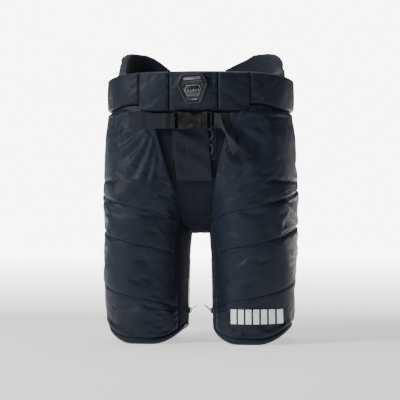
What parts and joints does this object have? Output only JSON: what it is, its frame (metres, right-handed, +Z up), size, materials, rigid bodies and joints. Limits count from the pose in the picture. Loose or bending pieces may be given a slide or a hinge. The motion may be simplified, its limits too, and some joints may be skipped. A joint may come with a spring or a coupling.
{
  "type": "hockey pants",
  "caption": "Padded ice hockey pants with a thick belt, raised kidney pads, slanted thigh panels, laced fly, side-release buckle and inner leg zips.",
  "frame": {"origin": "under the middle of the whole part's box, on the level of the hems' lowest points", "axes": "+Z up, front of the pants towards -Y, wearer's left towards +X"},
  "size_m": [0.392, 0.2808, 0.585],
  "materials": {
    "nylon_shell": "woven nylon with a soft satin sheen",
    "belt_nylon": "woven nylon over foam, satin",
    "kidney_lining": "brushed nylon lining over foam",
    "stretch_fabric": "matt stretch knit",
    "mesh_lining": "open mesh knit",
    "webbing": "ribbed webbing",
    "lace": "waxed braid",
    "guard_plastic": "moulded polyethylene, satin",
    "pad_foam": "closed-cell foam",
    "buckle_plastic": "moulded acetal, fine texture",
    "zip_plastic": "moulded zip teeth",
    "zip_metal": "black painted zinc",
    "badge_rubber": "glossy moulded rubber"
  },
  "bodies": {
    "garment": {"left_upper_thigh_panel": "nylon_shell", "left_middle_thigh_panel": "nylon_shell", "left_lower_thigh_panel": "nylon_shell", "left_cuff_panel": "nylon_shell", "left_seat_panel": "nylon_shell", "left_back_leg_panel": "nylon_shell", "left_hem_band": "nylon_shell", "left_fly_facing": "nylon_shell", "left_inner_leg_panel": "stretch_fabric", "left_thigh_guard": "guard_plastic", "left_hip_guard": "guard_plastic", "left_thigh_foam": "pad_foam", "left_hip_foam": "pad_foam", "left_leg_liner": "mesh_lining", "left_zip_chain": "zip_plastic", "left_belt_front_pad": "belt_nylon", "left_belt_side_pad": "belt_nylon", "left_kidney_pad": "kidney_lining", "left_strap_patch": "webbing", "right_upper_thigh_panel": "nylon_shell", "right_middle_thigh_panel": "nylon_shell", "right_lower_thigh_panel": "nylon_shell", "right_cuff_panel": "nylon_shell", "right_seat_panel": "nylon_shell", "right_back_leg_panel": "nylon_shell", "right_hem_band": "nylon_shell", "right_fly_facing": "nylon_shell", "right_inner_leg_panel": "stretch_fabric", "right_thigh_guard": "guard_plastic", "right_hip_guard": "guard_plastic", "right_thigh_foam": "pad_foam", "right_hip_foam": "pad_foam", "right_leg_liner": "mesh_lining", "right_zip_chain": "zip_plastic", "right_belt_front_pad": "belt_nylon", "right_belt_side_pad": "belt_nylon", "right_kidney_pad": "kidney_lining", "right_strap_patch": "webbing", "crotch_gusset": "stretch_fabric", "fly_placket": "nylon_shell", "fly_lace": "lace", "waist_liner": "mesh_lining", "tailbone_pad": "pad_foam", "belt_centre_panel": "belt_nylon", "belt_badge": "badge_rubber", "spine_pad": "kidney_lining", "buckle_receiver": "buckle_plastic", "tongue_strap": "webbing", "receiver_strap": "webbing"},
    "buckle_tongue": {"buckle_tongue": "buckle_plastic"},
    "upper_latch_arm": {"upper_latch_arm": "buckle_plastic"},
    "lower_latch_arm": {"lower_latch_arm": "buckle_plastic"},
    "strap_tail": {"strap_tail": "webbing"},
    "left_zip_slider": {"left_zip_slider": "zip_metal"},
    "left_zip_pull": {"left_zip_pull": "zip_metal"},
    "right_zip_slider": {"right_zip_slider": "zip_metal"},
    "right_zip_pull": {"right_zip_pull": "zip_metal"}
  },
  "joints": [
    {"name": "tongue_slide", "type": "slide", "parent": "garment", "child": "buckle_tongue", "axis": [1, 0, 0], "range_m": [0, 0.02], "deforming": ["tongue_strap"]},
    {"name": "upper_latch_bend", "type": "hinge", "parent": "buckle_tongue", "child": "upper_latch_arm", "pos_m": [0.016, -0.11432, 0.453], "axis": [0, 1, 0], "range_deg": [-9.5, 0]},
    {"name": "lower_latch_bend", "type": "hinge", "parent": "buckle_tongue", "child": "lower_latch_arm", "pos_m": [0.016, -0.11432, 0.433], "axis": [0, 1, 0], "range_deg": [0, 9.5]},
    {"name": "strap_tail_swing", "type": "hinge", "parent": "buckle_tongue", "child": "strap_tail", "pos_m": [0.0365, -0.11432, 0.443], "axis": [0, 0, 1], "range_deg": [-30, 4]},
    {"name": "left_zip_travel", "type": "slide", "parent": "garment", "child": "left_zip_slider", "axis": [-0.0293, 0, 0.9996], "range_m": [-0.024, 0.099]},
    {"name": "left_zip_pull_swing", "type": "hinge", "parent": "left_zip_slider", "child": "left_zip_pull", "pos_m": [0.02048, 0.01468, 0.06182], "axis": [0, 1, 0], "range_deg": [-120, 35]},
    {"name": "right_zip_travel", "type": "slide", "parent": "garment", "child": "right_zip_slider", "axis": [0.0293, 0, 0.9996], "range_m": [-0.024, 0.099]},
    {"name": "right_zip_pull_swing", "type": "hinge", "parent": "right_zip_slider", "child": "right_zip_pull", "pos_m": [-0.02048, 0.01468, 0.06182], "axis": [0, 1, 0], "range_deg": [-35, 120]}
  ],
  "couplings": [
    {"joint": "upper_latch_bend", "follows": "tongue_slide", "rad_per_m": -7.854},
    {"joint": "lower_latch_bend", "follows": "tongue_slide", "rad_per_m": 7.854}
  ]
}
